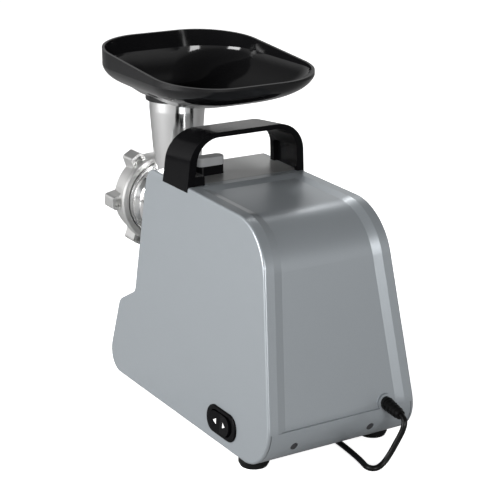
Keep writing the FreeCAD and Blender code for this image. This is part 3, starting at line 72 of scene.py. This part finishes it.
# Materials
class Finish:
    """A principled material with helpers for mottling, changes of sheen, grain and a clear coat."""

    def __init__(self, name, color, roughness, metallic=0.0, specular=0.5):
        self.material = bpy.data.materials.new(name)
        self.material.use_nodes = True
        self.tree = self.material.node_tree
        self.shader = self.tree.nodes["Principled BSDF"]
        self.color = color
        self.roughness = roughness
        self.shader.inputs["Base Color"].default_value = (*color, 1)
        self.shader.inputs["Roughness"].default_value = roughness
        self.shader.inputs["Metallic"].default_value = metallic
        self.shader.inputs["Specular IOR Level"].default_value = specular

    def node(self, kind, **inputs):
        made = self.tree.nodes.new(kind)
        for name, value in inputs.items():
            made.inputs[name.replace("_", " ")].default_value = value
        return made

    def link(self, source, target):
        self.tree.links.new(source, target)

    def noise(self, scale, detail=3.0, stretch=(1, 1, 1)):
        coordinates = self.node("ShaderNodeTexCoord")
        mapping = self.node("ShaderNodeMapping", Scale=stretch)
        noise = self.node("ShaderNodeTexNoise", Scale=scale, Detail=detail)
        self.link(coordinates.outputs["Object"], mapping.inputs["Vector"])
        self.link(mapping.outputs["Vector"], noise.inputs["Vector"])
        return noise.outputs["Fac"]

    def mottle(self, scale, amount, stretch=(1, 1, 1)):
        """Slight colour change across the surface."""
        blend = self.node("ShaderNodeMix")
        blend.data_type = "RGBA"
        blend.inputs["A"].default_value = (*[c * (1 - amount) for c in self.color], 1)
        blend.inputs["B"].default_value = (*[min(1, c * (1 + amount)) for c in self.color], 1)
        self.link(self.noise(scale, stretch=stretch), blend.inputs["Factor"])
        self.link(blend.outputs["Result"], self.shader.inputs["Base Color"])
        return self

    def sheen_change(self, scale, amount, stretch=(1, 1, 1)):
        """Roughness that wanders by amount either way."""
        spread = self.node("ShaderNodeMapRange")
        spread.inputs["To Min"].default_value = max(0.02, self.roughness - amount)
        spread.inputs["To Max"].default_value = min(1, self.roughness + amount)
        self.link(self.noise(scale, stretch=stretch), spread.inputs["Value"])
        self.link(spread.outputs["Result"], self.shader.inputs["Roughness"])
        return self

    def grain(self, scale, strength, distance=0.0002, stretch=(1, 1, 1)):
        bump = self.node("ShaderNodeBump", Strength=strength, Distance=distance)
        self.link(self.noise(scale, detail=4.0, stretch=stretch), bump.inputs["Height"])
        self.link(bump.outputs["Normal"], self.shader.inputs["Normal"])
        return self

    def coat(self, weight, roughness):
        self.shader.inputs["Coat Weight"].default_value = weight
        self.shader.inputs["Coat Roughness"].default_value = roughness
        return self


def silver_paint(name, color):
    """Satin metallic paint on moulded plastic: fine flake and a soft coat."""
    finish = Finish(name, color, roughness=0.36, metallic=0.4)
    finish.mottle(1400, 0.05).sheen_change(60, 0.03).grain(900, 0.05).coat(0.35, 0.2)
    return finish.material


def moulded(name, color, roughness, grain=0.12, scale=1600, specular=0.3):
    finish = Finish(name, color, roughness, specular=specular)
    finish.mottle(80, 0.12).sheen_change(45, 0.05).grain(scale, grain)
    return finish.material


def metal(name, color, roughness, stretch=(1, 1, 1), grain=0.06, scale=500):
    finish = Finish(name, color, roughness, metallic=1.0)
    finish.mottle(50, 0.05, stretch).sheen_change(120, 0.06, stretch).grain(scale, grain, stretch=stretch)
    return finish.material


def make_finishes():
    black = (0.005, 0.005, 0.0055)
    return {
        "housing_paint": silver_paint("housing_paint", (0.297, 0.322, 0.343)),
        "cover_paint": silver_paint("cover_paint", (0.325, 0.33, 0.328)),
        "black_plastic": moulded("black_plastic", (0.003, 0.003, 0.0035), 0.2, grain=0.02, specular=0.06),
        "tray_plastic": moulded("tray_plastic", black, 0.1, grain=0.01, specular=0.4),
        "grey_plastic": moulded("grey_plastic", (0.26, 0.265, 0.27), 0.35),
        "rubber": moulded("rubber", (0.004, 0.004, 0.004), 0.4, grain=0.15, specular=0.15),
        "cord_sheath": moulded("cord_sheath", (0.004, 0.004, 0.004), 0.36, grain=0.1, specular=0.18),
        "tie_plastic": moulded("tie_plastic", (0.02, 0.02, 0.02), 0.55),
        "head_aluminium": metal("head_aluminium", (0.95, 0.95, 0.95), 0.13, grain=0.01),
        "collar_metal": metal("collar_metal", (0.7, 0.7, 0.71), 0.32, stretch=(1, 12, 1)),
        "steel": metal("steel", (0.58, 0.58, 0.59), 0.28, stretch=(1, 8, 1)),
        "screw_steel": metal("screw_steel", (0.09, 0.09, 0.095), 0.45),
        "gear_nylon": moulded("gear_nylon", (0.72, 0.70, 0.62), 0.4),
        "bush_bronze": metal("bush_bronze", (0.55, 0.36, 0.15), 0.4),
        "case_plastic": moulded("case_plastic", (0.05, 0.05, 0.055), 0.5),
        "lamination": metal("lamination", (0.28, 0.28, 0.29), 0.5, stretch=(1, 60, 1), grain=0.3),
        "copper": metal("copper", (0.62, 0.25, 0.1), 0.35, stretch=(1, 30, 1), grain=0.4),
        "carbon": moulded("carbon", (0.02, 0.02, 0.02), 0.6),
    }


SHARP_DEGREES = 32


def smooth_by_angle(piece):
    """Smooth shading with sharp edges kept, without touching the vertices."""
    mesh = piece.data
    mesh.shade_smooth()
    mesh.set_sharp_from_angle(angle=math.radians(SHARP_DEGREES))


def dress_nodes(finishes):
    own = {"ring_nut": metal("nut_casting", (0.84, 0.84, 0.83), 0.36, grain=0.12, scale=700)}
    for name, piece in nodes.items():
        piece.data.materials.clear()
        piece.data.materials.append(own.get(name, finishes[slot_of[name]]))
        smooth_by_angle(piece)


# Cord: the same corners as the solid's route, then the coil's turns and the lead to the plug
CORD_D = 0.005
COIL_CENTRE = Vector((-38, -156, 0)) * MM
COIL_LOW = 0.8
BOOT_END = (-43.5, 187.3, 43.6)
ROUTE = [BOOT_END, (-43.5, 192.2, 42.8), (-41.8, 195, 38.4), (-39.9, 194.2, 31.5), (-36.2, 192, 22.5),
         (-31.5, 189.5, 11.5), (-25, 188.4, 3.6), (-17, 189.4, 2.5), (-13.3, 183.2, 2.5), (-16, 173, 2.5),
         (-18.6, 157, 2.5), (-21.3, 131, 2.5), (-23, 86, 2.5), (-21, 26, 2.5), (-16, -34, 2.5),
         (-9.5, -84, 2.5), (-5.8, -124, 2.5)]
TAIL = [(-22, -125.1, 8.3), (-4, -126.5, 7.85), (5, -126.5, 7.65)]


def coil_turns():
    """Two turns inward, a climb at the inside, two turns outward on top. Clockwise from above."""
    outer, inner = 0.0325, 0.0225
    low, high = COIL_LOW * MM + CORD_D / 2, COIL_LOW * MM + 1.5 * CORD_D
    per_turn = 16
    inward, climb, outward = 2, 0.75, 2
    points = []
    for i in range(int((inward + climb + outward) * per_turn) + 1):
        turn = i / per_turn
        wound_in = min(turn / inward, 1)
        climbed = min(max((turn - inward) / climb, 0), 1)
        wound_out = max((turn - inward - climb) / outward, 0)
        radius = outer + (inner - outer) * (wound_in - wound_out)
        angle = -2 * math.pi * turn
        points.append(COIL_CENTRE + Vector((radius * math.cos(angle), radius * math.sin(angle),
                                            low + (high - low) * climbed)))
    return points


def add_cord(finish):
    points = [Vector(p) * MM for p in ROUTE] + coil_turns() + [Vector(p) * MM for p in TAIL]
    curve = bpy.data.curves.new("cord", "CURVE")
    curve.dimensions = "3D"
    curve.bevel_depth = CORD_D / 2
    curve.bevel_resolution = 5
    curve.resolution_u = 8
    curve.use_fill_caps = True
    spline = curve.splines.new("NURBS")
    spline.points.add(len(points) - 1)
    for control, point in zip(spline.points, points):
        control.co = (*point, 1)
    spline.order_u = 3
    spline.use_endpoint_u = True
    cord = bpy.data.objects.new("cord", curve)
    cord.data.materials.append(finish)
    bpy.context.scene.collection.objects.link(cord)
    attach(cord, "housing")
    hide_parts("cord_run", "cord_coil", "cord_tail")


# Rocker: two arrow marks, printed on the sloping halves
SIDE_LEAN = math.atan(0.083)
SWITCH_AT = Vector((73.33, 96, 28.7)) * MM
FACE_LOW, FACE_RISE = 0.0023, 0.0714


def add_arrows():
    white = moulded("mark_white", (0.8, 0.8, 0.8), 0.5)
    out = Vector((math.cos(SIDE_LEAN), 0, math.sin(SIDE_LEAN)))
    up = Vector((-math.sin(SIDE_LEAN), 0, math.cos(SIDE_LEAN)))
    along = Vector((0, 1, 0))
    half, near, far, lift = 0.0026, 0.0052, 0.0098, 0.00008
    for side, name in ((-1, "arrow_forward"), (1, "arrow_reverse")):
        corners = [(near, half), (near, -half), (far, 0)]
        points = [SWITCH_AT + along * (side * u) + up * v + out * (FACE_LOW + FACE_RISE * u + lift)
                  for u, v in corners]
        mesh = bpy.data.meshes.new(name)
        mesh.from_pydata(points, [], [(0, 1, 2) if side < 0 else (0, 2, 1)])
        arrow = bpy.data.objects.new(name, mesh)
        arrow.data.materials.append(white)
        bpy.context.scene.collection.objects.link(arrow)
        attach(arrow, "rocker")


def squash_spring():
    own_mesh(nodes["button_spring"])


# Studio: white to the camera, while reflections see a grey floor and a sky that darkens upward
FLOOR_GLOW, FLOOR_REFLECTED = 0.8, 0.42
FLOOR_REACH = 12
SKY_STEPS = ((0, 0.9), (0.25, 0.55), (0.5, 0.12), (1, 0.05))

# Lights: name, place, aim, watts and size
LIGHTS = (("key", (2.0, -0.3, 0.75), (0, 0, 0.12), 58, 1.0),
          ("window", (-0.75, -1.0, 1.5), (0, -0.05, 0.3), 7, 0.35),
          ("rear_fill", (0.3, 2.2, 0.7), (0, 0, 0.15), 31, 0.8))


def seen_white(finish, glow, reflected):
    """Let the camera see the floor glowing white, and everything else a grey one."""
    path = finish.node("ShaderNodeLightPath")
    strength = finish.node("ShaderNodeMath")
    strength.operation = "MULTIPLY"
    strength.inputs[1].default_value = glow
    finish.link(path.outputs["Is Camera Ray"], strength.inputs[0])
    finish.link(strength.outputs["Value"], finish.shader.inputs["Emission Strength"])
    blend = finish.node("ShaderNodeMix")
    blend.data_type = "RGBA"
    blend.inputs["A"].default_value = (reflected, reflected, reflected, 1)
    blend.inputs["B"].default_value = (*finish.color, 1)
    finish.link(path.outputs["Is Camera Ray"], blend.inputs["Factor"])
    finish.link(blend.outputs["Result"], finish.shader.inputs["Base Color"])


def add_sky():
    """White to the camera, a ramp from bright horizon to dark zenith for other rays."""
    world = bpy.data.worlds.new("studio")
    bpy.context.scene.world = world
    world.use_nodes = True
    tree = world.node_tree
    coordinates = tree.nodes.new("ShaderNodeTexCoord")
    split = tree.nodes.new("ShaderNodeSeparateXYZ")
    ramp = tree.nodes.new("ShaderNodeValToRGB")
    path = tree.nodes.new("ShaderNodeLightPath")
    blend = tree.nodes.new("ShaderNodeMix")
    blend.data_type = "RGBA"
    blend.inputs["B"].default_value = (1, 1, 1, 1)
    steps = ramp.color_ramp.elements
    while len(steps) < len(SKY_STEPS):
        steps.new(0.5)
    for step, (at, level) in zip(steps, SKY_STEPS):
        step.position = at
        step.color = (level, level, level, 1)
    tree.links.new(coordinates.outputs["Generated"], split.inputs["Vector"])
    tree.links.new(split.outputs["Z"], ramp.inputs["Fac"])
    tree.links.new(ramp.outputs["Color"], blend.inputs["A"])
    tree.links.new(path.outputs["Is Camera Ray"], blend.inputs["Factor"])
    tree.links.new(blend.outputs["Result"], tree.nodes["Background"].inputs["Color"])


def add_studio():
    mesh = bpy.data.meshes.new("floor")
    corners = [(a * FLOOR_REACH, b * FLOOR_REACH, 0) for a, b in ((-1, -1), (1, -1), (1, 1), (-1, 1))]
    mesh.from_pydata(corners, [], [(0, 1, 2, 3)])
    floor = bpy.data.objects.new("floor", mesh)
    finish = Finish("floor_white", (0.96, 0.96, 0.96), 0.9, specular=0.1)
    finish.shader.inputs["Emission Color"].default_value = (1, 1, 1, 1)
    seen_white(finish, FLOOR_GLOW, FLOOR_REFLECTED)
    floor.data.materials.append(finish.material)
    bpy.context.scene.collection.objects.link(floor)
    add_sky()
    bpy.context.scene.view_settings.view_transform = "Standard"
    for light in LIGHTS:
        add_light(*light)


def add_light(name, at, aim, power, size):
    data = bpy.data.lights.new(name, "AREA")
    data.energy = power
    data.size = size
    light = bpy.data.objects.new(name, data)
    light.location = at
    light.rotation_euler = (Vector(aim) - Vector(at)).to_track_quat("-Z", "Y").to_euler()
    bpy.context.scene.collection.objects.link(light)


add_camera()
finishes = make_finishes()
dress_nodes(finishes)
add_cord(finishes["cord_sheath"])
add_arrows()
squash_spring()
add_studio()
